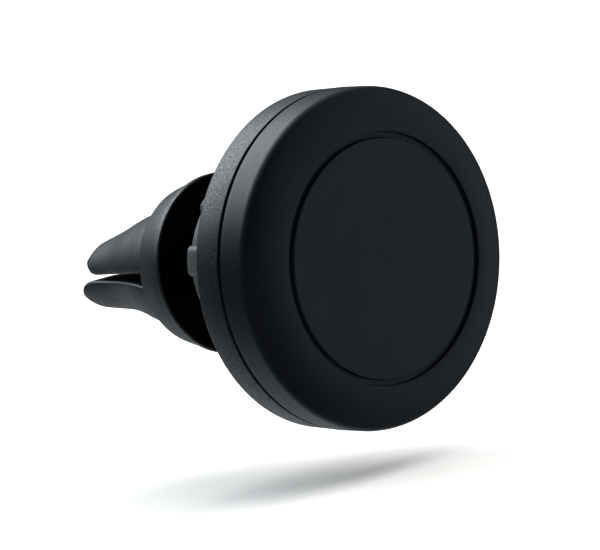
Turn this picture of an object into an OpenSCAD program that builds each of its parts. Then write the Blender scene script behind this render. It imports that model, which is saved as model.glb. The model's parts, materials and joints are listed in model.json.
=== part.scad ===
// Magnetic phone mount for a car's air vent.
// A round magnetic head turns on a ball, and a lock nut squeezes the ball socket.
// Behind it a dished clip grips a vent louvre with four rubber prongs.
// Millimetres. +Y points back into the vent, +Z is up, and the origin is the bottom
// of the louvre slots, on the clip's axis.

/* [Head] */
// Diameter of the head
head_d = 42; // [38:0.5:46]
// Depth of the head from its front face to its rear edge
head_depth = 11.1; // [10.6:0.1:13]
// Depth of the front bezel, up to the parting groove
bezel_depth = 6.2; // [6:0.1:6.4]
// Width of the parting groove
groove_w = 0.45; // [0.3:0.05:0.6]
// Diameter of the flat pad in the middle of the face
pad_d = 29.3; // [26:0.1:30]
// Width of the channel around the pad
channel_w = 0.75; // [0.5:0.05:1]
// Depth of the channel around the pad
channel_depth = 0.55; // [0.3:0.05:0.8]
// Radius of the crown between the channel and the corner
crown_r = 9; // [8:0.5:12]
// Radius of the corner between the crown and the side wall
corner_r = 1.45; // [1:0.05:2]

/* [Magnets] */
// Number of magnets
magnet_count = 6; // [6]
// Diameter of each magnet
magnet_d = 8; // [6:0.5:8]
// Thickness of each magnet
magnet_t = 2.5; // [2:0.1:2.5]

/* [Ball joint] */
// Diameter of the ball
ball_d = 13; // [12.6:0.1:13.2]
// Distance of the ball's centre behind the head's front face
ball_back = 19; // [19:0.1:19.5]
// Diameter of the neck between the ball and the clip
neck_d = 5.6; // [4.6:0.1:5.8]
// Lean of the head's face downwards
head_tilt = 3; // [-20:1:20]

/* [Lock nut] */
// Diameter of the nut between its lugs
nut_d = 21.2; // [20.6:0.1:21.6]
// Diameter over the lugs
lug_d = 22.8; // [22:0.1:23]
// Number of lugs
lug_count = 8; // [6:1:10]
// Width of each lug
lug_w = 3.7; // [3:0.1:4.5]
// Distance of the nut's rear face behind the ball's centre
nut_rear = 5.5; // [5:0.1:5.6]
// Turn of the lugs from level, with the nut at rest
lug_turn = 10; // [0:1:45]

/* [Clip dish] */
// Diameter of the dish at its rim
rim_d = 23.1; // [22.8:0.1:24]
// Distance of the rim behind the ball's centre
rim_back = 10.7; // [10.6:0.1:12]
// Depth of the dish from the rim to the bottom of the slots
dish_depth = 6.7; // [6.4:0.1:6.8]
// Width of the rim band of the rigid core
band_w = 1.1; // [1:0.05:1.8]
// Diameter at the rear shoulder of the dish
shoulder_d = 20.7; // [20:0.1:21]

/* [Prongs] */
// Length of the upper prongs behind the slot bottom
upper_len = 19.9; // [19:0.1:20.2]
// Length of the lower prongs behind the slot bottom
lower_len = 21; // [19.5:0.1:21.4]
// Diameter over the prongs at their root
root_d = 16.5; // [16:0.1:17]
// Diameter over the upper prongs where their nose starts
upper_tip_d = 7.8; // [7.6:0.1:8.2]
// Diameter over the lower prongs where their nose starts
lower_tip_d = 9.2; // [9:0.1:9.4]
// Height of the level slot at its root
level_slot = 1.44; // [1.2:0.02:1.5]
// Width of the upright slot at its root
upright_slot = 0.9; // [0.8:0.02:1.2]

/* [Hidden] */
$fn = 96;

// Head, measured back from its front face
head_r = head_d / 2;
pad_r = pad_d / 2;
channel_r = pad_r + channel_w;
pad_t = 1.1;
adhesive_t = 0.2;
seat_s = pad_t + adhesive_t;
web_s = 3;
pocket_gap = 0.05;
bezel_wall = 2;
groove_depth = 0.55;
spigot_r = head_r - 1.55;
spigot_end = bezel_depth + 1.8;
housing_s = bezel_depth + groove_w;
housing_r = head_r - 0.05;
rear_r = head_r - 0.2;
rear_edge_r = 0.45;
back_wall = 2;
back_s = head_depth - back_wall;

// Magnet stack
tray_s = web_s + 0.05;
tray_end = tray_s + magnet_t;
tray_r = head_r - bezel_wall - 0.5;
magnet_pitch_r = 8.2;
yoke_t = 0.8;
yoke_r = 16.5;
yoke_s = tray_end + 0.05;

// Screws that hold the head together
post_pitch_r = 12.4;
post_r = 2;
post_angles = [30, 150, 270];
screw_r = 1;
screw_head_r = 1.9;
screw_head_t = 1;
screw_end = back_s - 0.5;

// Ball socket
ball_r = ball_d / 2;
play = 0.05;
socket_r = 8.95;
flange_r = 13.4;
flange_t = 1.2;
flange_s = back_s - flange_t;
socket_cone_s = ball_back + 0.4;
socket_end = ball_back + 3.2;
socket_end_r = 7.6;
pad_hole_r = 5;
pad_floor_s = ball_back - 8.6;
finger_gap = 0.8;
finger_slot_s = ball_back - 4.5;
socket_screw_pitch_r = 11.7;
socket_screw_angles = [90, 210, 330];
socket_screw_r = 0.8;
socket_screw_head_r = 1.5;

// Lock nut and the ring it pushes
nut_r = nut_d / 2;
lug_r = lug_d / 2;
nut_bore_r = socket_r + play;
nut_front_s = ball_back - 6.6;
nut_end_s = ball_back + nut_rear;
nut_lip = 1.4;
mouth_in_r = 6.4;
mouth_out_r = 7.1;
ring_gap = 0.08;
ring_s = ball_back + 0.9;
ring_r = nut_bore_r - 0.08;

// Clip, measured along Y from the bottom of the slots
rim_y = -dish_depth;
ball_y = rim_y - rim_back;
rim_r = rim_d / 2;
seam_y = rim_y + band_w;
seam_r = rim_r - 0.3;
under_r = seam_r - 0.35;
shoulder_r = shoulder_d / 2;
shoulder_y = rim_y + 5;
root_r = root_d / 2;
upper_tip_r = upper_tip_d / 2;
lower_tip_r = lower_tip_d / 2;
upper_mid = [root_r - 1.7, upper_tip_r + 1.45];
lower_mid = [root_r - 1.95, lower_tip_r + 0.75];
nose_r = 2.2;
mouth_y = 15.4;
mouth_ratio = 0.56;
upper_mouth_ratio = 0.3;
root_flare = 0.85;
hub_r = 4.6;
bowl_r = 7.4;
hub_y = rim_y + 0.4;
core_back_y = -0.5;
insert_r = 3;
shank_r = 2;
collar_r = 4.3;
collar_t = 1.4;
washer_t = 0.5;
washer_r = 4.5;
leaf_w = 2;
leaf_t = 0.6;
leaf_x = 3.1;
leaf_z = 2;
leaf_front_y = -1.3;
leaf_len = 14.6;

// Points of an arc about [cr, cy], from angle a0 to a1 in n steps
function arc(cr, cy, r, a0, a1, n) =
    [for (i = [0:n]) [cr + r * cos(a0 + (a1 - a0) * i / n), cy + r * sin(a0 + (a1 - a0) * i / n)]];

// Place of the corner arc's centre, which touches both the crown and the side wall
corner_c_r = head_r - corner_r;
corner_c_s = crown_r - sqrt(pow(crown_r - corner_r, 2) - pow(corner_c_r - channel_r, 2));
crown_end = -acos((corner_c_r - channel_r) / (crown_r - corner_r));

// Turns [radius, y] points about the Y axis
module turned(points) {
    rotate([-90, 0, 0])
        rotate_extrude()
            polygon(points);
}

// A cylinder along Y, from y0 to y1
module rod(r, y0, y1) {
    translate([0, y0, 0])
        rotate([-90, 0, 0])
            cylinder(h = y1 - y0, r = r);
}

// Copies of a piece at a pitch radius, one for each angle
module at_angles(pitch_r, angles) {
    for (a = angles)
        rotate([0, a, 0])
            translate([pitch_r, 0, 0])
                children();
}

// The head's own frame: Y = 0 on the front face, leaning about the ball's centre
module on_head() {
    translate([0, ball_y, 0])
        rotate([head_tilt, 0, 0])
            translate([0, -ball_back, 0])
                children();
}

// Flat rubber pad that the phone's plate rests on
module front_pad() {
    edge = 0.12;
    color("#22262a")
        on_head()
            turned([[0, 0], [pad_r - edge, 0], [pad_r, edge], [pad_r, pad_t], [0, pad_t]]);
}

// Double-sided film under the pad
module pad_adhesive() {
    color("#8a8d90")
        on_head()
            rod(pad_r - 0.3, pad_t, seat_s);
}

// Soft-touch front shell: crown, channel, side wall and the spigot for the rear housing
module front_bezel() {
    edge = 0.12;
    bead_s = bezel_depth + groove_w / 2;
    neck_r = head_r - groove_depth;
    inner_r = head_r - bezel_wall - 0.1;
    color("#1f2326")
        on_head()
            difference() {
                turned(concat(
                    [[0, seat_s], [pad_r + pocket_gap, seat_s], [pad_r + pocket_gap, channel_depth]],
                    [[channel_r, channel_depth], [channel_r, edge]],
                    arc(channel_r, crown_r, crown_r, -90 + edge * 6, crown_end, 12),
                    arc(corner_c_r, corner_c_s, corner_r, crown_end, 0, 8),
                    [[head_r, bezel_depth - edge], [head_r - edge, bezel_depth]],
                    [[neck_r, bezel_depth], [neck_r, bead_s - 0.06], [neck_r + 0.16, bead_s - 0.06]],
                    [[neck_r + 0.16, bead_s + 0.06], [neck_r, bead_s + 0.06], [neck_r, housing_s]],
                    [[spigot_r, housing_s], [spigot_r, spigot_end], [inner_r, spigot_end]],
                    [[inner_r, web_s], [0, web_s]]
                ));
                at_angles(post_pitch_r, post_angles) {
                    rod(screw_head_r + 0.1, 0, seat_s + screw_head_t + 0.1);
                    rod(screw_r + 0.1, 0, web_s + 1);
                }
            }
}

// Plastic tray that keeps the magnets apart
module magnet_tray() {
    color("#3a3d40")
        on_head()
            difference() {
                rod(tray_r, tray_s, tray_end);
                at_angles(magnet_pitch_r, [for (i = [0:magnet_count - 1]) i * 360 / magnet_count])
                    rod(magnet_d / 2 + 0.05, tray_s - 1, tray_end + 1);
                at_angles(post_pitch_r, post_angles)
                    rod(post_r + 0.2, tray_s - 1, tray_end + 1);
            }
}

// Nickel-plated disc magnets
module magnets() {
    color("#c8cacc")
        on_head()
            at_angles(magnet_pitch_r, [for (i = [0:magnet_count - 1]) i * 360 / magnet_count])
                rod(magnet_d / 2, tray_s, tray_end);
}

// Steel plate that closes the magnets' field at the back
module yoke_plate() {
    color("#9da0a3")
        on_head()
            difference() {
                rod(yoke_r, yoke_s, yoke_s + yoke_t);
                at_angles(post_pitch_r, post_angles)
                    rod(post_r + 0.2, yoke_s - 1, yoke_s + yoke_t + 1);
            }
}

// Grained rear shell with the screw posts
module rear_housing() {
    inner_r = spigot_r + pocket_gap;
    edge = 0.15;
    color("#2a2d30")
        on_head()
            difference() {
                union() {
                    turned(concat(
                        [[inner_r, housing_s], [housing_r - edge, housing_s], [housing_r, housing_s + edge]],
                        arc(rear_r - rear_edge_r, head_depth - rear_edge_r, rear_edge_r, 0, 90, 6),
                        [[socket_r + pocket_gap, head_depth], [socket_r + pocket_gap, back_s]],
                        [[inner_r, back_s]]
                    ));
                    at_angles(post_pitch_r, post_angles)
                        rod(post_r, web_s, back_s + 0.5);
                }
                at_angles(post_pitch_r, post_angles)
                    rod(screw_r, web_s - 1, screw_end);
                at_angles(socket_screw_pitch_r, socket_screw_angles)
                    rod(socket_screw_r, back_s - 1, head_depth - 0.4);
            }
}

// Screws from under the pad into the rear housing's posts
module housing_screws() {
    color("#b4b7ba")
        on_head()
            at_angles(post_pitch_r, post_angles)
                difference() {
                    union() {
                        rod(screw_head_r, seat_s + 0.05, seat_s + 0.05 + screw_head_t);
                        rod(screw_r - 0.02, seat_s + screw_head_t, screw_end - 0.2);
                    }
                    cross_recess(seat_s + 0.05, screw_head_r, 0.5);
                }
}

// A cross cut into a screw's head at y
module cross_recess(y, r, depth) {
    for (a = [0, 90])
        rotate([0, a, 0])
            translate([-r * 0.55, y - 1, -r * 0.12])
                cube([r * 1.1, depth + 1, r * 0.24]);
}

// Split ball socket with a flange inside the rear housing
module ball_socket() {
    color("#34373a")
        on_head()
            difference() {
                turned([
                    [0, flange_s], [flange_r, flange_s], [flange_r, back_s], [socket_r, back_s],
                    [socket_r, socket_cone_s], [socket_end_r, socket_end], [0, socket_end]
                ]);
                translate([0, ball_back, 0])
                    sphere(r = ball_r + play);
                rod(pad_hole_r, pad_floor_s, ball_back);
                for (a = [45, 135])
                    rotate([0, a, 0])
                        translate([-socket_r - 1, finger_slot_s, -finger_gap / 2])
                            cube([2 * socket_r + 2, ball_back, finger_gap]);
                at_angles(socket_screw_pitch_r, socket_screw_angles)
                    rod(socket_screw_r + 0.1, flange_s - 1, back_s + 1);
                at_angles(post_pitch_r, post_angles)
                    rod(post_r + 0.2, flange_s - 1, back_s + 1);
            }
}

// Screws that hold the socket's flange to the rear housing
module socket_screws() {
    head_t = 0.7;
    color("#b4b7ba")
        on_head()
            at_angles(socket_screw_pitch_r, socket_screw_angles)
                difference() {
                    union() {
                        rod(socket_screw_head_r, flange_s - head_t, flange_s);
                        rod(socket_screw_r - 0.02, flange_s - 0.1, head_depth - 0.6);
                    }
                    cross_recess(flange_s - head_t, socket_screw_head_r, 0.35);
                }
}

// Rubber pad that bears on the front of the ball
module friction_pad() {
    color("#4a3a34")
        on_head()
            difference() {
                rod(pad_hole_r - 0.1, pad_floor_s + 0.05, ball_back - 4.6);
                translate([0, ball_back, 0])
                    sphere(r = ball_r + 0.1);
            }
}

// Ring that slides along the socket's cone and squeezes its fingers
module clamp_ring() {
    slope = (socket_r - socket_end_r) / (socket_end - socket_cone_s);
    lip_s = nut_end_s - nut_lip;
    front_r = socket_r + ring_gap - slope * (ring_s - socket_cone_s);
    rear_r = socket_r + ring_gap - slope * (socket_end - socket_cone_s);
    color("#d8d4c8")
        on_head()
            turned([
                [front_r, ring_s], [ring_r, ring_s], [ring_r, lip_s - 0.05], [rear_r, lip_s - 0.05],
                [rear_r, socket_end]
            ]);
}

// Lock nut with grip lugs around it
module lock_nut() {
    edge = 0.5;
    lip_s = nut_end_s - nut_lip;
    lug_front_s = nut_front_s + 1.5;
    color("#3a3e41")
        on_head()
            union() {
                turned([
                    [nut_bore_r, nut_front_s], [nut_r - edge, nut_front_s], [nut_r, nut_front_s + edge],
                    [nut_r, nut_end_s - edge], [nut_r - edge, nut_end_s], [mouth_out_r, nut_end_s],
                    [mouth_in_r, lip_s], [nut_bore_r, lip_s]
                ]);
                for (i = [0:lug_count - 1])
                    rotate([0, lug_turn + i * 360 / lug_count, 0])
                        lug(lug_front_s, nut_end_s);
            }
}

// One lug along Y from y0 to y1, with its outer corners cut back
module lug(y0, y1) {
    cut = 0.7;
    base = nut_r - 0.6;
    translate([0, 0, -lug_w / 2])
        linear_extrude(lug_w)
            polygon([
                [base, y0], [lug_r - cut, y0], [lug_r, y0 + cut], [lug_r, y1 - cut],
                [lug_r - cut, y1], [base, y1]
            ]);
}

// Steel ball with its neck, hexagonal collar and threaded shank
module ball_stud() {
    collar_end = hub_y - washer_t - play;
    color("#a8abae")
        union() {
            translate([0, ball_y, 0])
                sphere(r = ball_r);
            rod(neck_d / 2, ball_y + 4, collar_end - collar_t + 0.1);
            translate([0, collar_end - collar_t, 0])
                rotate([-90, 0, 0])
                    cylinder(h = collar_t, r = collar_r, $fn = 6);
            rod(shank_r, collar_end - 0.1, hub_y + 4.4);
        }
}

// Washer under the stud's collar
module stud_washer() {
    color("#c0c3c6")
        difference() {
            rod(washer_r, hub_y - washer_t, hub_y);
            rod(shank_r + 0.1, hub_y - washer_t - 1, hub_y + 1);
        }
}

// Brass insert moulded into the core for the stud's thread
module thread_insert() {
    color("#b5924c")
        difference() {
            rod(insert_r, hub_y + 0.1, hub_y + 4.7);
            rod(shank_r + play, hub_y - 1, hub_y + 6);
        }
}

// Rigid core of the clip: the dish, its rim band and the hub
module clip_core() {
    edge = 0.3;
    band_end_r = rim_r - 0.1;
    color("#2b2e31")
        difference() {
            turned(concat(
                [[0, hub_y], [hub_r, hub_y], [hub_r + 0.3, rim_y + 3.4]],
                arc(bowl_r, rim_y, 3.4, 90, 6, 10),
                arc(rim_r - edge, rim_y + edge, edge, 270, 360, 4),
                [[band_end_r, seam_y - 0.08], [band_end_r - 0.12, seam_y], [under_r, seam_y]],
                [[under_r, seam_y + 0.6], [shoulder_r - 1.1, shoulder_y], [6.4, core_back_y]],
                [[0, core_back_y]]
            ));
            rod(insert_r, hub_y - 1, hub_y + 4.75);
            for (sx = [-1, 1], sz = [-1, 1])
                leaf_blank(sx, sz);
        }
}

// One edge of a slot, from its root to the flared mouth: [y, distance from the middle]
function slot_edge(root_half, ratio, flare) = concat(
    [[0, root_half - 0.3 + flare], [0.3, root_half + flare * 0.9]],
    [for (y = [1, 2, 3.2, 4.6, 6.2, 8]) [y, taper(y, root_half, ratio) + flare * pow(1 - y / 8, 3)]],
    [for (step = [[0, 0], [2, 0.2], [3.2, 0.55], [4.2, 1.2], [6.4, 3.3]])
        [mouth_y + step[0], root_half * ratio + step[1]]]
);

// Half width of a slot at y, before its flares. It shrinks to the given ratio at the mouth.
function taper(y, root_half, ratio) = root_half * (1 - (1 - ratio) * y / mouth_y);

// A slot through the prongs, cut across X, with its height along Z
module slot_cut(root_half, upper_ratio, flare_below) {
    upper = slot_edge(root_half, upper_ratio, 0);
    below = slot_edge(root_half, mouth_ratio, flare_below);
    lower = [for (i = [len(below) - 1:-1:0]) [below[i][0], -below[i][1]]];
    rotate([90, 0, 90])
        linear_extrude(4 * root_r, center = true)
            polygon(concat(upper, lower));
}

// Outline of the sleeve, for prongs that end at len. mid holds their radius at y = 8 and y = 12.
function sleeve_outline(mid, tip_r, len) = concat(
    [[0, core_back_y], [6.4, core_back_y], [shoulder_r - 1.1, shoulder_y]],
    [[under_r, seam_y + 0.6], [under_r, seam_y + 0.04], [seam_r - 0.1, seam_y + 0.04]],
    [[seam_r, seam_y + 0.16], [seam_r - 0.3, seam_y + 1.6]],
    arc(shoulder_r - 0.6, shoulder_y, 0.6, 12, 90, 5),
    arc(root_r + 0.9, shoulder_y + 1.5, 0.9, 270, 180, 5),
    [[root_r - 0.35, 2.6], [root_r - 1.05, 5.4], [mid[0], 8], [mid[1], 12]],
    arc(tip_r - nose_r, len - nose_r, nose_r, 14, 90, 8),
    [[0, len]]
);

// Half of the sleeve: the upper one with side 1, the lower one with side -1
module sleeve_half(mid, tip_r, len, side) {
    box_y = seam_y - 1;
    intersection() {
        turned(sleeve_outline(mid, tip_r, len));
        translate([-rim_r, box_y, side > 0 ? 0 : -rim_r])
            cube([2 * rim_r, len + 1 - box_y, rim_r]);
    }
}

// Rubber sleeve over the core, with four prongs parted by a level and an upright slot
module grip_sleeve() {
    color("#3b3e40")
        difference() {
            union() {
                sleeve_half(upper_mid, upper_tip_r, upper_len, 1);
                sleeve_half(lower_mid, lower_tip_r, lower_len, -1);
            }
            slot_cut(level_slot / 2, upper_mouth_ratio, root_flare);
            rotate([0, 90, 0])
                slot_cut(upright_slot / 2, mouth_ratio, 0);
            for (sx = [-1, 1], sz = [-1, 1])
                leaf_blank(sx, sz);
        }
}

// Outer shape of one spring leaf, in the quarter that sx and sz pick
module leaf_blank(sx, sz) {
    translate([sx * leaf_x - leaf_w / 2, leaf_front_y, sz * leaf_z - leaf_t / 2])
        cube([leaf_w, leaf_len, leaf_t]);
}

// Spring-steel leaf inside one prong
module prong_leaf(sx, sz) {
    color("#8f9499")
        leaf_blank(sx, sz);
}

front_pad();
pad_adhesive();
front_bezel();
magnet_tray();
magnets();
yoke_plate();
rear_housing();
housing_screws();
ball_socket();
socket_screws();
friction_pad();
clamp_ring();
lock_nut();
ball_stud();
stud_washer();
thread_insert();
clip_core();
grip_sleeve();
prong_leaf(-1, 1);  // prong_leaf_upper_left
prong_leaf(1, 1);  // prong_leaf_upper_right
prong_leaf(-1, -1);  // prong_leaf_lower_left
prong_leaf(1, -1);  // prong_leaf_lower_right
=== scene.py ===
import json
import math

import bmesh
import bpy
from mathutils import Matrix, Vector


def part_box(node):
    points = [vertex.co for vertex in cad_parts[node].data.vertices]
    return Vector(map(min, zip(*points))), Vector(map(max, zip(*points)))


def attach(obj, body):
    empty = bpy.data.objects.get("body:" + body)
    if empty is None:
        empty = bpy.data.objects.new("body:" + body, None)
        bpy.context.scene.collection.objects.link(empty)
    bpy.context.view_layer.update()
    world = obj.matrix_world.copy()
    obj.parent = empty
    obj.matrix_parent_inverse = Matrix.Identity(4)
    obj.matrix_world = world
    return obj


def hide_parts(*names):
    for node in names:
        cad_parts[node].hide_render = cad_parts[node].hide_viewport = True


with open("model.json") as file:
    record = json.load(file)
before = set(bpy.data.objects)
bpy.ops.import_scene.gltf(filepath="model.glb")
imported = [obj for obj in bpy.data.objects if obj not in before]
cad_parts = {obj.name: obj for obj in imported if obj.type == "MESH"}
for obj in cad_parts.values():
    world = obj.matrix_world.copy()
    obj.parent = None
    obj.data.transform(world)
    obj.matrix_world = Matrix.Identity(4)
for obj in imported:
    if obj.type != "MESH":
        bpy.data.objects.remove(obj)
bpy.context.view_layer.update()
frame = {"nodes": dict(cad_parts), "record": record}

# ---------------------------------------------------------------- places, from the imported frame
MM = 0.001
JOINTS = {j["name"]: j for j in frame["record"]["behaviour"]["joints"]}
MOUNTS = {m["name"]: m for m in frame["record"]["mounts"]}
PIVOT = Vector(JOINTS["head_tilt"]["pos_m"])
HEAD_AXIS = Vector(JOINTS["head_spin"]["axis"]).normalized()
FACE = Vector(MOUNTS["phone_face"]["pos_m"])
BALL_BACK = (FACE - PIVOT).length / MM
BALL_Y = PIVOT.y / MM

# Head pieces are drawn with Y = 0 on the front face, and clip pieces with Y = 0 at the slots
ON_HEAD = Matrix.Translation(FACE) @ Vector((0, 1, 0)).rotation_difference(HEAD_AXIS).to_matrix().to_4x4()
ON_CLIP = Matrix.Identity(4)


def half_width(node):
    """Radius in mm of a round CAD node: the head only leans about X, so its width is its diameter."""
    low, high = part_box(node)
    return (high.x - low.x) / 2 / MM


# ---------------------------------------------------------------- camera
AZIMUTH, ELEVATION, ROLL = (math.radians(a) for a in (-39.89, 5.93, 11))
AIM = Vector((-8.14, -29.63, -0.94)) * MM
DISTANCE = 0.5
LENS = 248
SENSOR = 36
NEAREST, FARTHEST = 0.01, 50


def place_camera():
    forward = Vector((-math.sin(AZIMUTH), math.cos(AZIMUTH), 0)) * math.cos(ELEVATION)
    forward.z = -math.sin(ELEVATION)
    level_right = forward.cross(Vector((0, 0, 1))).normalized()
    level_up = level_right.cross(forward)
    up = level_up * math.cos(ROLL) + level_right * math.sin(ROLL)
    right = forward.cross(up)
    data = bpy.data.cameras.new("camera")
    data.lens = LENS
    data.sensor_width = SENSOR
    data.clip_start, data.clip_end = NEAREST, FARTHEST
    camera = bpy.data.objects.new("camera", data)
    turn = Matrix((right, up, -forward)).transposed().to_4x4()
    camera.matrix_world = Matrix.Translation(AIM - forward * DISTANCE) @ turn
    bpy.context.scene.collection.objects.link(camera)
    bpy.context.scene.camera = camera


place_camera()


# ---------------------------------------------------------------- outlines, as (radius, y) in mm
def arc(centre, radius, start, end, steps):
    """Points of an arc, from angle start to angle end in degrees."""
    angles = [math.radians(start + (end - start) * i / steps) for i in range(steps + 1)]
    return [(centre[0] + radius * math.cos(a), centre[1] + radius * math.sin(a)) for a in angles]


FILLET_STEPS = 5
STRAIGHT = 0.02


def rounded(corners):
    """Points through (radius, y, fillet) corners. The ends of an open outline need a fillet of 0."""
    points = []
    for i, (x, y, fillet) in enumerate(corners):
        here = Vector((x, y))
        if not fillet:
            points.append((x, y))
            continue
        back = Vector(corners[i - 1][:2]) - here
        ahead = Vector(corners[(i + 1) % len(corners)][:2]) - here
        turn = math.pi - back.angle(ahead)
        bent = turn > STRAIGHT
        reach = fillet * math.tan(turn / 2) if bent else fillet / 2
        start = here + back.normalized() * reach
        end = here + ahead.normalized() * reach
        for k in range(FILLET_STEPS + 1):
            t = k / FILLET_STEPS
            if bent:
                sweep = turn * t
                along = fillet * math.sin(sweep)
                off = fillet * (1 - math.cos(sweep))
                inward = (ahead.normalized() - (-back.normalized()) * math.cos(turn)).normalized()
                p = start - back.normalized() * along + inward * off
            else:
                p = start.lerp(end, t)
            points.append((p.x, p.y))
    return points


def through(points, steps):
    """A smooth curve through points, as a Catmull-Rom spline with so many steps between two points."""
    ends = [2 * Vector(points[0]) - Vector(points[1]), 2 * Vector(points[-1]) - Vector(points[-2])]
    knots = [ends[0], *map(Vector, points), ends[1]]
    made = []
    for a, b, c, d in zip(knots, knots[1:], knots[2:], knots[3:]):
        for k in range(steps):
            t = k / steps
            p = b + (c - a) * t / 2 + (2 * a - 5 * b + 4 * c - d) * t * t / 2
            made.append(tuple(p + (3 * b - a - 3 * c + d) * t ** 3 / 2))
    return made + [tuple(points[-1])]


# ---------------------------------------------------------------- meshes
SHARP_DEG = 35
ROUND_SIDES = 256
MERGE_MM, FLAT_MM = 1e-4, 1e-5


def even(sides):
    """Angles spaced evenly round a circle."""
    return [2 * math.pi * i / sides for i in range(sides)]


def piece(name, mesh, place, sharp=SHARP_DEG):
    """Finishes a mesh drawn in mm: merged, facing outwards, smooth below the sharp angle, in place."""
    bmesh.ops.remove_doubles(mesh, verts=mesh.verts, dist=MERGE_MM)
    bmesh.ops.dissolve_degenerate(mesh, edges=mesh.edges, dist=FLAT_MM)
    bmesh.ops.recalc_face_normals(mesh, faces=mesh.faces)
    data = bpy.data.meshes.new(name)
    mesh.to_mesh(data)
    mesh.free()
    data.transform(place @ Matrix.Scale(MM, 4))
    data.shade_smooth()
    data.set_sharp_from_angle(angle=math.radians(sharp))
    made = bpy.data.objects.new(name, data)
    bpy.context.scene.collection.objects.link(made)
    return made


def turned(outline_at, angles, closed):
    """Mesh of an outline turned about Y. outline_at gives the points at an angle.

    A closed outline runs back to its first point, and an open one starts and ends on the axis.
    """
    mesh = bmesh.new()
    columns = []
    for a in angles:
        points = outline_at(a)
        columns.append([mesh.verts.new((r * math.cos(a), y, r * math.sin(a))) for r, y in points])
    count = len(columns[0])
    for left, right in zip(columns, columns[1:] + columns[:1]):
        for i in range(count if closed else count - 1):
            j = (i + 1) % count
            mesh.faces.new((left[i], left[j], right[j], right[i]))
    return mesh


def lathe(name, outline, place):
    """A round piece from an open outline."""
    return piece(name, turned(lambda a: outline, even(ROUND_SIDES), closed=False), place)


# ---------------------------------------------------------------- head, in mm; S is behind its face
HEAD_R = half_width("front_bezel")
PAD_R = half_width("front_pad")
HOUSING_R = half_width("rear_housing")
PAD_T = 1.1
SEAT_S = 1.3
CHANNEL_IN = PAD_R + 0.05
CHANNEL_OUT = PAD_R + 0.75
CHANNEL_DEPTH = 0.55
CHANNEL_LIP_R = 0.12
CROWN_R = 9
CORNER_R = 1.45
BEZEL_END = 6.13
HOUSING_S = 6.72
GROOVE_R = HEAD_R - 0.55
BEAD_R = GROOVE_R + 0.22
BEAD_HALF, BEAD_TOP_HALF = 0.09, 0.06
HEAD_DEPTH = 11.1
SPIGOT_R = HEAD_R - 1.55
SPIGOT_INNER_R = HEAD_R - 2.1
SPIGOT_END = 8
WEB_S = 3
POST_PITCH_R, POST_R, POST_BORE_R = 12.4, 2, 1
POST_ANGLES = (30, 150, 270)
POST_SIDES = 32
BACK_BORE_R = 9.0
BACK_S = 9.1


def front_pad():
    outline = rounded([(0, 0, 0), (PAD_R, 0, 0.14), (PAD_R, PAD_T, 0.05), (0, PAD_T, 0)])
    return lathe("face_pad", outline, ON_HEAD)


def front_bezel():
    """Crown and corner arcs touch each other, and the corner touches the side wall.

    The seam's groove, with a bead in it, runs round the spigot between the two shells.
    """
    corner_r = HEAD_R - CORNER_R
    run = corner_r - CHANNEL_OUT
    corner_s = CROWN_R - math.sqrt((CROWN_R - CORNER_R) ** 2 - run ** 2)
    meet = -math.degrees(math.acos(run / (CROWN_R - CORNER_R)))
    bead = (BEZEL_END + HOUSING_S) / 2
    front = rounded([(0, SEAT_S, 0), (CHANNEL_IN, SEAT_S, 0.05), (CHANNEL_IN, CHANNEL_DEPTH, 0.02),
                     (CHANNEL_OUT, CHANNEL_DEPTH, 0.08), (CHANNEL_OUT, 0.2, 0)])
    lip = arc((CHANNEL_OUT + CHANNEL_LIP_R, 0.125), CHANNEL_LIP_R, 180, 268, 4)
    crown = arc((CHANNEL_OUT, CROWN_R), CROWN_R, -89, meet, 28)
    corner = arc((corner_r, corner_s), CORNER_R, meet, 0, 14)
    rear = rounded([(HEAD_R, 5.5, 0), (HEAD_R, BEZEL_END, 0.08), (GROOVE_R, BEZEL_END, 0.03),
                    (GROOVE_R, bead - BEAD_HALF, 0.02), (BEAD_R, bead - BEAD_TOP_HALF, 0.03),
                    (BEAD_R, bead + BEAD_TOP_HALF, 0.03), (GROOVE_R, bead + BEAD_HALF, 0.02),
                    (GROOVE_R, HOUSING_S, 0.03), (SPIGOT_R, HOUSING_S, 0.1), (SPIGOT_R, SPIGOT_END, 0.2),
                    (SPIGOT_INNER_R, SPIGOT_END, 0.2), (SPIGOT_INNER_R, WEB_S, 0.3), (0, WEB_S, 0)])
    return lathe("bezel_shell", front + lip + crown[1:] + corner[1:] + rear, ON_HEAD)


def rear_housing():
    """A ring-shaped wall and back, with three screw posts that reach to the bezel's web."""
    inner = SPIGOT_R + 0.05
    rear_r = HOUSING_R - 0.15
    post_end = BACK_S + 0.3
    wall = rounded([(inner, HOUSING_S, 0.1), (HOUSING_R, HOUSING_S, 0.1), (rear_r, HEAD_DEPTH, 0.5),
                    (BACK_BORE_R, HEAD_DEPTH, 0.25), (BACK_BORE_R, BACK_S, 0.1), (inner, BACK_S, 0.3)])
    mesh = turned(lambda a: wall, even(ROUND_SIDES), closed=True)
    post = [(POST_BORE_R, WEB_S), (POST_R, WEB_S), (POST_R, post_end), (POST_BORE_R, post_end)]
    for angle in POST_ANGLES:
        tube = turned(lambda a: post, even(POST_SIDES), closed=True)
        turn = Matrix.Rotation(math.radians(angle), 4, "Y")
        tube.transform(turn @ Matrix.Translation((POST_PITCH_R, 0, 0)))
        data = bpy.data.meshes.new("post")
        tube.to_mesh(data)
        tube.free()
        mesh.from_mesh(data)
        bpy.data.meshes.remove(data)
    return piece("rear_shell", mesh, ON_HEAD)


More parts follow.
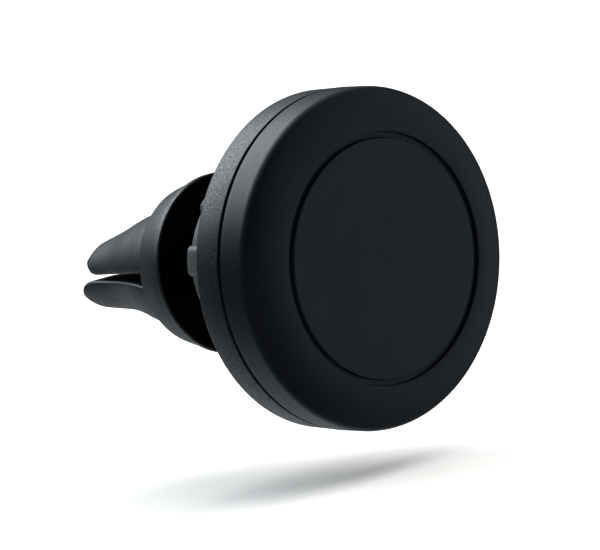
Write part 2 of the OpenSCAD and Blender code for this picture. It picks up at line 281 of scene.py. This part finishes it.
# ---------------------------------------------------------------- ball joint, in mm
SOCKET_R = 8.95
SOCKET_CONE_S = BALL_BACK + 0.4
SOCKET_END = BALL_BACK + 3.2
SOCKET_SIDES = 128
THREAD_PITCH, THREAD_DEPTH, THREAD_POWER = 1.5, 0.32, 0.8
THREAD_ROWS, FADE_ROWS = 60, 3
FLANGE_R, FLANGE_S = 13.4, 7.9
FRICTION_PAD_R, FRICTION_PAD_S = 5, BALL_BACK - 8.6
BALL_R = 6.5
STUD_SIDES = 144
NUT_R = 10.6
LUG_R = 11.4
LUG_COUNT = 8
LUG_W = 3.7
NUT_FRONT = BALL_BACK - 6.6
NUT_END = BALL_BACK + 5.5
NUT_BORE_R = 9.0
LUG_TURN = -10
LUG_FOOT_DEG, LUG_CREST_DEG = 0.5, -2
CREST_STEPS, FLANK_STEPS, BETWEEN_STEPS = 4, 8, 5
JOINT_SHARP_DEG, COLLAR_SHARP_DEG = 50, 30


def lock_nut():
    """Between its lugs the nut follows one outline, and over a lug another with as many points.

    A lug's flank rises steeply from its foot, then more gently to its crest.
    """
    mouth_in, mouth_out, lip = 6.4, 7.1, NUT_END - 1.4
    collar, lug_front = NUT_FRONT + 1.5, NUT_FRONT + 1.7
    inside = [(mouth_out, NUT_END, 0.3), (mouth_in, lip, 0.15), (NUT_BORE_R, lip, 0.1)]

    def outline(top, front_cut, rear_cut):
        return rounded([(NUT_BORE_R, NUT_FRONT, 0.25), (NUT_R, NUT_FRONT, 0.5), (NUT_R, collar, 0.25),
                        (top, lug_front, front_cut), (top, NUT_END, rear_cut), *inside])

    plain = outline(NUT_R, 0.25, 0.5)
    lug = outline(LUG_R, 0.6, 0.75)
    foot = math.degrees(math.asin(LUG_W / 2 / NUT_R)) + LUG_FOOT_DEG
    crest = math.degrees(math.asin(LUG_W / 2 / LUG_R)) + LUG_CREST_DEG
    pitch = 360 / LUG_COUNT
    half = [crest * i / CREST_STEPS for i in range(CREST_STEPS)]
    half += [crest + (foot - crest) * i / FLANK_STEPS for i in range(FLANK_STEPS + 1)]
    half += [foot + (pitch / 2 - foot) * i / BETWEEN_STEPS for i in range(1, BETWEEN_STEPS)]
    around = [-a for a in reversed(half[1:])] + half + [pitch / 2]
    angles = [math.radians(LUG_TURN + i * pitch + a) for i in range(LUG_COUNT) for a in around]

    def outline_at(angle):
        a = abs((math.degrees(angle) - LUG_TURN + pitch / 2) % pitch - pitch / 2)
        t = min(1, max(0, (foot - a) / (foot - crest)))
        rise = min(1, 2.2 * t, 0.4 + 0.62 * t)
        return [(p[0] + (q[0] - p[0]) * rise, p[1] + (q[1] - p[1]) * rise) for p, q in zip(plain, lug)]

    return piece("clamp_nut", turned(outline_at, angles, closed=True), ON_HEAD, JOINT_SHARP_DEG)


def ball_socket():
    """A flange, a threaded barrel and a cone round the ball's cup. The thread fades out at both ends."""
    cup = BALL_R + 0.05
    cone_r, mouth_r = 7.6, 5.75
    first, last = BACK_S + 0.2, SOCKET_CONE_S - 0.8
    base = rounded([(0, FLANGE_S, 0), (FLANGE_R, FLANGE_S, 0.1), (FLANGE_R, BACK_S, 0.1),
                    (SOCKET_R, BACK_S, 0)])
    end = rounded([(SOCKET_R, SOCKET_CONE_S, 0), (cone_r, SOCKET_END, 0.2), (mouth_r, SOCKET_END, 0)])
    opening = math.degrees(math.asin((SOCKET_END - BALL_BACK) / cup))
    pad_edge = -math.degrees(math.acos(FRICTION_PAD_R / cup))
    bowl = arc((0, BALL_BACK), cup, opening, pad_edge, 20)
    bowl += [(FRICTION_PAD_R, FRICTION_PAD_S), (0, FRICTION_PAD_S)]

    def outline_at(angle):
        thread = []
        for i in range(THREAD_ROWS + 1):
            s = first + (last - first) * i / THREAD_ROWS
            phase = (s / THREAD_PITCH - angle / (2 * math.pi)) % 1
            fade = min(1, i / FADE_ROWS, (THREAD_ROWS - i) / FADE_ROWS)
            cut = THREAD_DEPTH * fade * (0.5 - 0.5 * math.cos(2 * math.pi * phase)) ** THREAD_POWER
            thread.append((SOCKET_R - cut, s))
        return base + thread + end + bowl

    mesh = turned(outline_at, even(SOCKET_SIDES), closed=False)
    return piece("threaded_socket", mesh, ON_HEAD, JOINT_SHARP_DEG)


def ball_stud():
    """Ball, waisted neck, chamfered hexagonal collar and shank, about the clip's axis."""
    neck_r, collar_r, collar_end, shank_r = 2.8, 4.3, HUB_Y - 0.55, 2
    collar_front, shank_bevel, shank_end = collar_end - 1.4, HUB_Y + 4.2, HUB_Y + 4.4
    bevel, bevel_rise, bevel_run = 0.25, 0.12, 0.2
    waist_r = 0.6
    flat_r = collar_r * math.cos(math.pi / 6)
    face_r = flat_r - bevel
    waist = math.degrees(math.asin(neck_r / BALL_R)) + 4
    ball = arc((0, BALL_Y), BALL_R, -90, 90 - waist, 40)
    neck_start = BALL_Y + BALL_R * math.cos(math.radians(waist))
    neck = arc((neck_r + waist_r, neck_start + 0.75), waist_r, 215, 180, 4)

    def outline_at(angle):
        sixth = (math.degrees(angle) + 30) % 60 - 30
        hexagon = flat_r / math.cos(math.radians(30 - abs(sixth)))
        bevelled = min(hexagon, flat_r + bevel_rise)
        return ball + neck + [
            (neck_r, collar_front - 0.3), (neck_r + 0.3, collar_front), (face_r, collar_front),
            (bevelled, collar_front + bevel_run), (hexagon, collar_front + 0.42),
            (hexagon, collar_end - 0.42), (bevelled, collar_end - bevel_run), (face_r, collar_end),
            (shank_r, collar_end), (shank_r, shank_bevel), (shank_r - 0.2, shank_end), (0, shank_end)]

    mesh = turned(outline_at, even(STUD_SIDES), closed=False)
    return piece("steel_ball_stud", mesh, ON_CLIP, COLLAR_SHARP_DEG)


# ---------------------------------------------------------------- clip, in mm
RIM_R = half_width("clip_core")
RIM_Y = -6.7
SEAM_Y = RIM_Y + 1.1
SEAM_R = RIM_R - 0.3
UNDER_R = SEAM_R - 0.35
SHOULDER_R = 10.35
SHOULDER_Y = RIM_Y + 5
CORE_BACK_Y = -0.5
HUB_Y = RIM_Y + 0.4
BAND_EDGE = 0.14
LIP_R = RIM_R - 0.22
BOWL_R, BOWL_CENTRE_R = 3.4, 7.4
INSERT_R = 3
INSERT_END = HUB_Y + 4.75
# material slot of the painted shade that darkens the inside of the dish
PAINTED_SHADE_SLOT = 1


def clip_core():
    """The dish with its rim band. The inside of the dish takes the core's second material, a painted
    shade: a near-black colour where the dish lies unlit.
    """
    edge = BAND_EDGE
    hub = rounded([(0, INSERT_END, 0), (INSERT_R, INSERT_END, 0.05), (INSERT_R, HUB_Y, 0.1),
                   (4.6, HUB_Y, 0.25), (4.9, RIM_Y + BOWL_R, 0.6), (BOWL_CENTRE_R, RIM_Y + BOWL_R, 0)])
    bowl = arc((BOWL_CENTRE_R, RIM_Y), BOWL_R, 90, 6, 24)
    rim = arc((RIM_R - edge, RIM_Y + edge), edge, 270, 360, 6)
    back = rounded([(RIM_R - 0.06, SEAM_Y - 0.4, 0), (RIM_R - 0.1, SEAM_Y, 0.12), (UNDER_R, SEAM_Y, 0.05),
                    (UNDER_R, SEAM_Y + 0.6, 0.1), (SHOULDER_R - 1.1, SHOULDER_Y, 0.2),
                    (6.4, CORE_BACK_Y, 0.2), (0, CORE_BACK_Y, 0)])
    lip = rounded([(10.95, RIM_Y + 0.22, 0), (LIP_R, RIM_Y, 0.05), (RIM_R - edge, RIM_Y, 0)])
    made = lathe("clip_dish", hub + bowl[1:-1] + lip + rim[1:] + back, ON_CLIP)
    # faces on the inside of the dish, in from the lip, get the painted shade material
    for face in made.data.polygons:
        inside = face.center.y > (RIM_Y + 0.05) * MM and face.normal.y < 0.3
        if inside and math.hypot(face.center.x, face.center.z) < LIP_R * MM:
            face.material_index = PAINTED_SHADE_SLOT
    return made


ROOT_R = 8.25
SLOT_ROOT = 0.3
MOUTH_Y = 15.4
LEVEL_HALF = 0.72
UPRIGHT_HALF = 0.45
UPRIGHT_RATIO = 0.56
ROOT_FLARE_END = 8
MOUTH_FLARE, MOUTH_FLARE_POWER = 0.0375, 2.4
NOSE_LENGTH = 2.6
BODY_ROWS = 32
NOSE_ROW_DEG = 6


class Prong:
    """One pair of prongs: how it and its slot edge taper, and where its nose starts and ends."""

    def __init__(self, mid, tip_r, end, mouth_ratio, root_flare, bluntness):
        self.line = through([(ROOT_R, 0.1), (ROOT_R - 0.35, 2.6), (ROOT_R - 1.05, 5.4), (mid[0], 8),
                             (mid[1], 12), (tip_r + 0.13, end - 2.2), (tip_r - 0.4, end)], 8)
        self.end = end
        self.nose = end - NOSE_LENGTH
        self.mouth_ratio = mouth_ratio
        self.root_flare = root_flare
        self.bluntness = bluntness

    def radius(self, y):
        """Distance of the prong's outside from the clip's axis at y."""
        for (r0, y0), (r1, y1) in zip(self.line, self.line[1:]):
            if y <= y1:
                return r0 + (r1 - r0) * max(0, y - y0) / (y1 - y0)
        return self.line[-1][0]

    def shrink(self, y):
        """How much the section is scaled down towards the end of the nose."""
        along = min(1, max(0, (y - self.nose) / (self.end - self.nose)))
        return (1 - along ** self.bluntness) ** (1 / self.bluntness)

    def rows(self):
        """Where the sections lie: close together at the root and round the nose."""
        body = [SLOT_ROOT + (self.nose - SLOT_ROOT) * i / BODY_ROWS for i in range(BODY_ROWS + 1)]
        nose = [self.nose + (self.end - self.nose) * math.sin(math.radians(a))
                for a in range(NOSE_ROW_DEG, 90, NOSE_ROW_DEG)]
        return [0, 0.08, 0.18] + body + nose


LOWER_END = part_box("grip_sleeve")[1].y / MM
UPPER = Prong((6.55, 5.35), 3.9, LOWER_END - 1.1, 0.3, 0, 2)
LOWER = Prong((6.3, 5.35), 4.6, LOWER_END, UPRIGHT_RATIO, 0.85, 2.5)


def half_gap(root, y, ratio, flare=0):
    """Half a slot's width at y: filleted at its root, tapering to the ratio, and flared at both ends."""
    width = root * (1 - (1 - ratio) * y / MOUTH_Y) + flare * max(0, 1 - y / ROOT_FLARE_END) ** 3
    if y < SLOT_ROOT:
        width -= SLOT_ROOT - math.sqrt(SLOT_ROOT ** 2 - (SLOT_ROOT - y) ** 2)
    return width + MOUTH_FLARE * max(0, y - MOUTH_Y) ** MOUTH_FLARE_POWER


BEND_STEPS, SIDE_STEPS, ARC_STEPS = 4, 4, 18
BEND_CENTRE = BEND_STEPS // 2
EDGE_REACH, EDGE_SHARE, EDGE_SHARE_GROWTH = 0.5, 0.3, 0.05
SOFT_FROM = 0.6
GROW_LEAD, GROW_LENGTH = 2, 3
CENTRE_X, CENTRE_Z = 0.4, 0.26
ROUND_SHARE = 0.8


def bend(start, corner, end, roundness):
    """Points from start to end round a corner: sharp at roundness 0, a parabola at 1."""
    made = []
    for k in range(BEND_STEPS + 1):
        t = k / BEND_STEPS
        curved = start * (1 - t) ** 2 + corner * 2 * t * (1 - t) + end * t * t
        straight = start.lerp(corner, 2 * t) if t < 0.5 else corner.lerp(end, 2 * t - 1)
        made.append(straight.lerp(curved, roundness))
    return made


def prong_loop(y, prong):
    """A prong's section in the quarter of positive x and z, and where its outer arc starts and ends.

    Its outer edges are sharp at the root and soft from there on. Towards the end of the nose all edges
    grow rounder, and the section shrinks and turns nearly into a circle.
    """
    r = prong.radius(y)
    a = half_gap(UPRIGHT_HALF, y, UPRIGHT_RATIO)
    b = half_gap(LEVEL_HALF, y, prong.mouth_ratio, prong.root_flare)
    low, high = math.asin(b / r), math.pi / 2 - math.asin(a / r)
    corners = [Vector((a, b)), Vector((r * math.cos(low), b)), Vector((a, r * math.sin(high)))]
    wide, tall = corners[1].x - a, corners[2].y - b
    grown = min(1, max(0, (y - prong.nose + GROW_LEAD) / GROW_LENGTH))
    share = EDGE_SHARE + EDGE_SHARE_GROWTH * grown
    reach = min(EDGE_REACH + EDGE_REACH * grown, share * min(wide, tall))
    soft = min(1, y / SOFT_FROM)

    def on_arc(angle):
        return Vector((r * math.cos(angle), r * math.sin(angle)))

    start_low, start_high = low + reach / r, high - reach / r
    inner = bend(corners[0] + Vector((0, reach)), corners[0], corners[0] + Vector((reach, 0)), 1)
    first = bend(corners[1] - Vector((reach, 0)), corners[1], on_arc(start_low), soft)
    second = bend(on_arc(start_high), corners[2], corners[2] - Vector((0, reach)), soft)
    run = [inner[-1].lerp(first[0], i / SIDE_STEPS) for i in range(1, SIDE_STEPS)]
    back = [second[-1].lerp(inner[0], i / SIDE_STEPS) for i in range(1, SIDE_STEPS)]
    outer = [on_arc(start_low + (start_high - start_low) * i / ARC_STEPS) for i in range(1, ARC_STEPS)]
    loop = inner + run + first + outer + second + back
    arc_from = len(inner) + len(run) + BEND_CENTRE
    arc_to = arc_from + BEND_CENTRE + len(outer) + 1 + BEND_CENTRE
    centre = Vector((a + CENTRE_X * wide, b + CENTRE_Z * tall))
    size = prong.shrink(y)
    spokes = [p - centre for p in loop]
    mean = sum(s.length for s in spokes) / len(spokes)
    turned_in = [s.lerp(s.normalized() * mean, ROUND_SHARE * (1 - size)) for s in spokes]
    return [centre + s * size for s in turned_in], arc_from, arc_to


SLOT_STEPS = 4
SHOULDER_FILLET = 0.6
ROOT_FILLET = 0.9
SEAM_GAP = 0.14


def skin(mesh, previous, ring):
    """Faces between two rings of as many vertices."""
    for i in range(len(ring)):
        j = (i + 1) % len(ring)
        mesh.faces.new((previous[i], previous[j], ring[j], ring[i]))


def cap(mesh, ring, centre):
    """Faces from a ring to one vertex."""
    tip = mesh.verts.new(centre)
    for i in range(len(ring)):
        mesh.faces.new((ring[i], ring[(i + 1) % len(ring)], tip))


def loft_prongs(mesh):
    """Lofts the prongs, and gives the outer arc of each one's root and the edges of its other sides."""
    quarters = [(1, 1, UPPER), (-1, 1, UPPER), (-1, -1, LOWER), (1, -1, LOWER)]
    arcs = []
    floor_edges = []
    for sx, sz, prong in quarters:
        previous = None
        for y in prong.rows():
            loop, arc_from, arc_to = prong_loop(y, prong)
            ring = [mesh.verts.new((sx * p.x, y, sz * p.y)) for p in loop]
            if previous:
                skin(mesh, previous, ring)
            else:
                outer = ring[arc_from:arc_to + 1]
                arcs.append(outer if sx * sz > 0 else outer[::-1])
                inner = ring[arc_to:] + ring[:arc_from + 1]
                floor_edges += [mesh.edges.new((p, n)) for p, n in zip(inner, inner[1:])]
            previous = ring
        centre = sum((v.co for v in previous), Vector()) / len(previous)
        cap(mesh, previous, (centre.x, prong.end, centre.z))
    return arcs, floor_edges


def root_ring(mesh, arcs, root_r):
    """The prongs' outer arcs, joined across the slots into one ring, and the edges that join them."""
    ring = []
    for q, outer in enumerate(arcs):
        ring += outer
        here, ahead = outer[-1].co, arcs[(q + 1) % len(arcs)][0].co
        a0, a1 = math.atan2(here.z, here.x), math.atan2(ahead.z, ahead.x)
        gap = (a1 - a0) % (2 * math.pi)
        for k in range(1, SLOT_STEPS):
            a = a0 + gap * k / SLOT_STEPS
            ring.append(mesh.verts.new((root_r * math.cos(a), 0, root_r * math.sin(a))))
    on_arcs = set(id(v) for outer in arcs for v in outer)
    crossing = []
    for p, n in zip(ring, ring[1:] + ring[:1]):
        edge = mesh.edges.get((p, n)) or mesh.edges.new((p, n))
        if id(p) not in on_arcs or id(n) not in on_arcs:
            crossing.append(edge)
    return ring, crossing


def grip_sleeve():
    """Four lofted prongs, the slots' floor between them, and a turned body that starts on their roots."""
    mesh = bmesh.new()
    root_r = UPPER.radius(0)
    arcs, floor_edges = loft_prongs(mesh)
    ring, crossing = root_ring(mesh, arcs, root_r)
    bmesh.ops.triangle_fill(mesh, edges=floor_edges + crossing, use_beauty=True)
    # the turned body, from the root ring forwards and back along the core
    shoulder = arc((9.75, SHOULDER_Y), SHOULDER_FILLET, 90, 12, 8)
    fillet = arc((root_r + 0.92, 0.1), ROOT_FILLET, 187, 270, 7)
    seam = SEAM_Y + SEAM_GAP
    band = rounded([(SEAM_R - 0.3, SEAM_Y + 1.6, 0), (SEAM_R, seam, 0.08), (UNDER_R, seam, 0.03),
                    (UNDER_R, SEAM_Y + 0.6, 0.1), (SHOULDER_R - 1.1, SHOULDER_Y, 0.2),
                    (6.4, CORE_BACK_Y, 0)])
    angles = [math.atan2(v.co.z, v.co.x) for v in ring]
    previous = ring
    for r, y in fillet + shoulder + band:
        row = [mesh.verts.new((r * math.cos(a), y, r * math.sin(a))) for a in angles]
        skin(mesh, previous, row)
        previous = row
    cap(mesh, previous, (0, CORE_BACK_Y, 0))
    return piece("vent_grip_rubber", mesh, ON_CLIP, JOINT_SHARP_DEG)


# ---------------------------------------------------------------- materials
def tint(srgb):
    """A grey or (r, g, b) in display values, as a linear colour."""
    values = (srgb,) * 3 if isinstance(srgb, (int, float)) else srgb
    return tuple(v / 12.92 if v <= 0.04045 else ((v + 0.055) / 1.055) ** 2.4 for v in values) + (1,)


CELL_SMOOTHNESS = 0.6
NOISE_LOW, NOISE_HIGH = 0.3, 0.7


class Shader:
    """Builds one procedural material. Patterns lie in the piece's own space, with sizes in mm.

    A colour or roughness runs from its first to its second value between start and end of the noise.
    """

    def __init__(self, name, metallic=0, level=0.5):
        self.material = bpy.data.materials.new(name)
        self.material.use_nodes = True
        self.nodes = self.material.node_tree.nodes
        self.link = self.material.node_tree.links.new
        self.surface = self.nodes["Principled BSDF"]
        self.surface.inputs["Metallic"].default_value = metallic
        self.surface.inputs["Specular IOR Level"].default_value = level
        self.place = self.nodes.new("ShaderNodeTexCoord").outputs["Object"]
        self.normal = None

    def noise(self, size, detail=3, stretch=None):
        """Noise whose features are about size mm across."""
        node = self.nodes.new("ShaderNodeTexNoise")
        node.inputs["Scale"].default_value = 1 / (size * MM)
        node.inputs["Detail"].default_value = detail
        place = self.place
        if stretch:
            mapping = self.nodes.new("ShaderNodeMapping")
            mapping.inputs["Scale"].default_value = stretch
            self.link(place, mapping.inputs["Vector"])
            place = mapping.outputs["Vector"]
        self.link(place, node.inputs["Vector"])
        return node.outputs["Fac"]

    def cells(self, size):
        """Rounded cells about size mm apart, as in spark-eroded grain."""
        node = self.nodes.new("ShaderNodeTexVoronoi")
        node.feature = "SMOOTH_F1"
        node.inputs["Scale"].default_value = 1 / (size * MM)
        node.inputs["Smoothness"].default_value = CELL_SMOOTHNESS
        self.link(self.place, node.inputs["Vector"])
        return node.outputs["Distance"]

    def colour(self, value, dark, light, start=NOISE_LOW, end=NOISE_HIGH):
        node = self.nodes.new("ShaderNodeValToRGB")
        node.color_ramp.elements[0].position = start
        node.color_ramp.elements[0].color = tint(dark)
        node.color_ramp.elements[1].position = end
        node.color_ramp.elements[1].color = tint(light)
        self.link(value, node.inputs["Fac"])
        self.link(node.outputs["Color"], self.surface.inputs["Base Color"])
        return self

    def roughness(self, value, low, high, start=NOISE_LOW, end=NOISE_HIGH):
        node = self.nodes.new("ShaderNodeMapRange")
        node.inputs["From Min"].default_value = start
        node.inputs["From Max"].default_value = end
        node.inputs["To Min"].default_value = low
        node.inputs["To Max"].default_value = high
        self.link(value, node.inputs["Value"])
        self.link(node.outputs["Result"], self.surface.inputs["Roughness"])
        return self

    def bump(self, value, depth):
        """Raises the surface by up to depth mm."""
        node = self.nodes.new("ShaderNodeBump")
        node.inputs["Distance"].default_value = depth * MM
        self.link(value, node.inputs["Height"])
        if self.normal:
            self.link(self.normal, node.inputs["Normal"])
        self.normal = node.outputs["Normal"]
        self.link(self.normal, self.surface.inputs["Normal"])
        return self


def soft_touch():
    s = Shader("soft_touch_coat", level=0.35)
    s.colour(s.noise(6, 4), (0.012, 0.047, 0.084), (0.022, 0.061, 0.1))
    s.roughness(s.noise(0.6, 4), 0.36, 0.44)
    s.bump(s.noise(0.12, 2), 0.0012).bump(s.noise(9, 2), 0.01)
    return s.material


def face_rubber():
    s = Shader("face_rubber", level=0.3)
    s.colour(s.noise(5, 4), (0.066, 0.1, 0.126), (0.078, 0.114, 0.14))
    s.roughness(s.noise(0.5, 4), 0.5, 0.6)
    s.bump(s.noise(0.14, 2), 0.0015)
    return s.material


GRAIN_LOW, GRAIN_HIGH = 0.36, 0.64


def grained_plastic():
    s = Shader("grained_abs")
    s.colour(s.noise(0.21, 2), (0.014, 0.034, 0.051), (0.098, 0.12, 0.141), GRAIN_LOW, GRAIN_HIGH)
    s.roughness(s.noise(0.25, 2), 0.27, 0.54, GRAIN_LOW, GRAIN_HIGH)
    s.bump(s.cells(0.21), 0.017).bump(s.noise(0.14, 3), 0.012)
    return s.material


def dish_painted_shade():
    """Painted shade: a near-black colour for the unlit inside of the dish."""
    s = Shader("dish_painted_shade", level=0.05)
    s.colour(s.noise(0.3, 3), 0.008, 0.016)
    s.roughness(s.noise(0.35, 3), 0.6, 0.8)
    return s.material


def nut_plastic():
    s = Shader("nut_nylon")
    s.colour(s.noise(1.5, 4), (0.23, 0.25, 0.255), (0.27, 0.29, 0.295))
    s.roughness(s.noise(0.5, 4), 0.4, 0.55)
    s.bump(s.noise(0.2, 3), 0.006)
    return s.material


def sleeve_rubber():
    s = Shader("grip_rubber", level=0.32)
    s.colour(s.noise(3, 4), (0.085, 0.105, 0.118), (0.11, 0.13, 0.143))
    s.roughness(s.noise(0.7, 4), 0.38, 0.5)
    s.bump(s.noise(0.15, 3), 0.003).bump(s.noise(2.5, 2), 0.008)
    return s.material


def brushed(name, colour, low=0.22, high=0.4):
    """Metal with fine streaks."""
    s = Shader(name, metallic=1)
    dark = tuple(c * 0.9 for c in colour)
    s.colour(s.noise(2, 4), dark, colour)
    s.roughness(s.noise(0.25, 4), low, high)
    s.bump(s.noise(0.1, 2, stretch=(1, 0.15, 1)), 0.001)
    return s.material


def moulded(name, dark, light, low=0.4, high=0.6, size=0.4, depth=0.003):
    """Plain plastic, film or rubber, with a fine texture of the given size and depth."""
    s = Shader(name)
    s.colour(s.noise(2.5, 4), dark, light)
    s.roughness(s.noise(0.5, 4), low, high)
    s.bump(s.noise(size, 3), depth)
    return s.material


def paint(thing, *materials):
    """Gives a piece its materials. Clearing an empty list would reset the faces' material indices."""
    if thing.data.materials:
        thing.data.materials.clear()
    for material in materials:
        thing.data.materials.append(material)


# ---------------------------------------------------------------- build
def visible_pieces():
    """Draws the eight pieces that show, each on its body in the place of its CAD node."""
    soft, rubber, grained = soft_touch(), face_rubber(), grained_plastic()
    nylon = moulded("socket_nylon", 0.12, 0.16)
    steel = brushed("ball_steel", (0.66, 0.67, 0.69), 0.12, 0.22)
    rows = [
        (front_pad(), "head", "front_pad", "face_rubber", rubber),
        (front_bezel(), "head", "front_bezel", "soft_touch", soft),
        (rear_housing(), "head", "rear_housing", "grained_plastic", grained),
        (lock_nut(), "nut", "lock_nut", "nut_plastic", nut_plastic()),
        (ball_socket(), "head", "ball_socket", "socket_nylon", nylon),
        (ball_stud(), "ball", "ball_stud", "ball_steel", steel),
        # the clip core's second material is painted shade on the inside of its dish
        (clip_core(), "clip", "clip_core", "grained_plastic", grained, dish_painted_shade()),
        (grip_sleeve(), "clip", "grip_sleeve", "sleeve_rubber", sleeve_rubber()),
    ]
    for made, body, node, slot, *materials in rows:
        paint(made, *materials)
        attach(made, body)
        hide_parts(node)


def inner_nodes():
    """Gives the CAD nodes that are kept as they are their materials."""
    nodes = frame["nodes"]
    screw = brushed("screw_steel", (0.7, 0.7, 0.71))
    leaf = brushed("spring_steel", (0.5, 0.51, 0.53), 0.3, 0.5)
    finishes = {
        "pad_adhesive": moulded("adhesive_film", 0.5, 0.56, 0.3, 0.5),
        "magnet_tray": moulded("tray_abs", 0.2, 0.24),
        "magnets": brushed("nickel_plate", (0.78, 0.77, 0.74), 0.1, 0.22),
        "yoke_plate": brushed("yoke_steel", (0.55, 0.56, 0.57), 0.3, 0.5),
        "housing_screws": screw,
        "socket_screws": screw,
        "friction_pad": moulded("friction_rubber", (0.3, 0.22, 0.19), (0.36, 0.27, 0.23), 0.6, 0.8,
                                size=0.2, depth=0.01),
        "clamp_ring": moulded("ring_acetal", (0.82, 0.8, 0.75), (0.87, 0.85, 0.8), 0.3, 0.45),
        "stud_washer": brushed("washer_zinc", (0.72, 0.73, 0.74)),
        "thread_insert": brushed("insert_brass", (0.78, 0.62, 0.34)),
    }
    for node, material in finishes.items():
        paint(nodes[node], material)
    for node in nodes:
        if node.startswith("prong_leaf"):
            paint(nodes[node], leaf)


visible_pieces()
inner_nodes()


# ---------------------------------------------------------------- stage and light
FLOOR_HALF = 12
FLOOR_GAP = 0.1


def floor():
    """A floor just below the lowest point that the head's edge swings through."""
    tilt = math.radians(JOINTS["head_tilt"]["range_deg"][1]) + math.asin(HEAD_AXIS.z)
    level = PIVOT.z - (HEAD_R * math.cos(tilt) + BALL_BACK * math.sin(tilt) + FLOOR_GAP) * MM
    mesh = bmesh.new()
    half = FLOOR_HALF
    corners = [(-half, -half), (half, -half), (half, half), (-half, half)]
    mesh.faces.new([mesh.verts.new((x, y, level)) for x, y in corners])
    data = bpy.data.meshes.new("floor")
    mesh.to_mesh(data)
    mesh.free()
    made = bpy.data.objects.new("floor", data)
    bpy.context.scene.collection.objects.link(made)
    s = Shader("floor_white", level=0.2)
    s.colour(s.noise(40, 2), (0.965, 0.95, 0.938), (0.97, 0.955, 0.943))
    s.roughness(s.noise(30, 2), 0.7, 0.8)
    paint(made, s.material)
    return made


COOL, WHITE = (0.87, 0.95, 1, 1), (1, 1, 1, 1)
DIM = 0.03
SOFTBOXES = [
    ((-0.12, 0.68, 0.72), 4, 36, 4.2),
    ((0.1, 0.5, 0.86), 8, 55, 0.7),
    ((0.1, 0.76, -0.64), 5, 50, 0.6),
    ((0.65, -0.6, 0.15), 5, 65, 0.4),
    ((0.64, -0.12, -0.76), 5, 55, 0.12),
]


def sky():
    """A dim studio, with soft bright patches given as (direction, inner angle, outer angle, strength)."""
    world = bpy.data.worlds.new("studio")
    bpy.context.scene.world = world
    world.use_nodes = True
    nodes, link = world.node_tree.nodes, world.node_tree.links.new
    background = nodes["Background"]
    direction = nodes.new("ShaderNodeTexCoord").outputs["Generated"]
    total = None
    for towards, inner, outer, strength in SOFTBOXES:
        dot = nodes.new("ShaderNodeVectorMath")
        dot.operation = "DOT_PRODUCT"
        dot.inputs[1].default_value = Vector(towards).normalized()
        link(direction, dot.inputs[0])
        ramp = nodes.new("ShaderNodeMapRange")
        ramp.interpolation_type = "SMOOTHSTEP"
        ramp.inputs["From Min"].default_value = math.cos(math.radians(outer))
        ramp.inputs["From Max"].default_value = math.cos(math.radians(inner))
        ramp.inputs["To Min"].default_value = 0
        ramp.inputs["To Max"].default_value = strength
        link(dot.outputs["Value"], ramp.inputs["Value"])
        add = nodes.new("ShaderNodeMath")
        add.inputs[1].default_value = DIM
        if total:
            link(total, add.inputs[1])
        link(ramp.outputs["Result"], add.inputs[0])
        total = add.outputs["Value"]
    # the light is slightly cool, and what the camera sees past the floor is plain white
    seen = nodes.new("ShaderNodeLightPath")
    white = nodes.new("ShaderNodeBackground")
    white.inputs["Color"].default_value = WHITE
    background.inputs["Color"].default_value = COOL
    link(total, background.inputs["Strength"])
    mix = nodes.new("ShaderNodeMixShader")
    link(seen.outputs["Is Camera Ray"], mix.inputs["Fac"])
    link(background.outputs["Background"], mix.inputs[1])
    link(white.outputs["Background"], mix.inputs[2])
    link(mix.outputs["Shader"], nodes["World Output"].inputs["Surface"])


SUN_STRENGTH, SUN_ANGLE, SUN_FROM = 3.7, 75, (0.45, -0.5, 1)


def floor_sun(floor_piece):
    """A wide soft sun that lights the floor alone, so the part still casts its shadow there."""
    floor_only = bpy.data.collections.new("floor_only")
    floor_only.objects.link(floor_piece)
    data = bpy.data.lights.new("floor_sun", "SUN")
    data.energy = SUN_STRENGTH
    data.angle = math.radians(SUN_ANGLE)
    made = bpy.data.objects.new("floor_sun", data)
    made.rotation_mode = "QUATERNION"
    made.rotation_quaternion = Vector(SUN_FROM).to_track_quat("Z", "Y")
    made.light_linking.receiver_collection = floor_only
    bpy.context.scene.collection.objects.link(made)


stage_floor = floor()
stage_floor.visible_glossy = False
floor_sun(stage_floor)
sky()
bpy.context.scene.view_settings.view_transform = "Standard"
